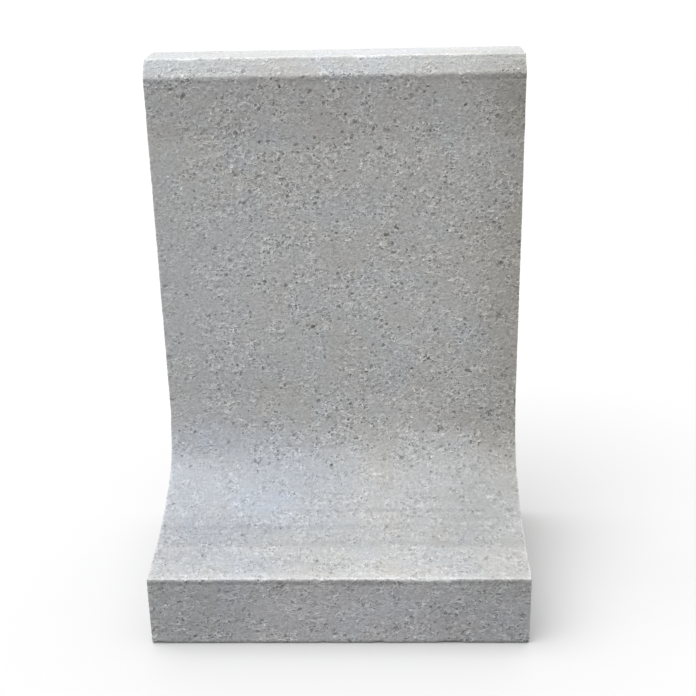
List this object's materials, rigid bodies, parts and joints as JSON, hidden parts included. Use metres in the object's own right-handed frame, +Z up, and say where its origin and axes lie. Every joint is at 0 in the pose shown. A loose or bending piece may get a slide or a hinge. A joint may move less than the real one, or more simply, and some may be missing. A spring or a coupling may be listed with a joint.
{
  "type": "l-shaped concrete block",
  "caption": "L-shaped cast concrete block: an upright wall with a bevelled top on a projecting foot, joined by a swept inside corner, for edging and holding back ground.",
  "frame": {"origin": "middle of the block's overall depth and width, on the ground under its base", "axes": "+Z up the wall, -Y the way the foot points, +X across the width"},
  "size_m": [0.3, 0.21, 0.435],
  "materials": {
    "concrete": "fine sandy cast face, matt, with small pits"
  },
  "bodies": {
    "root": {"l_block": "concrete"}
  },
  "joints": []
}
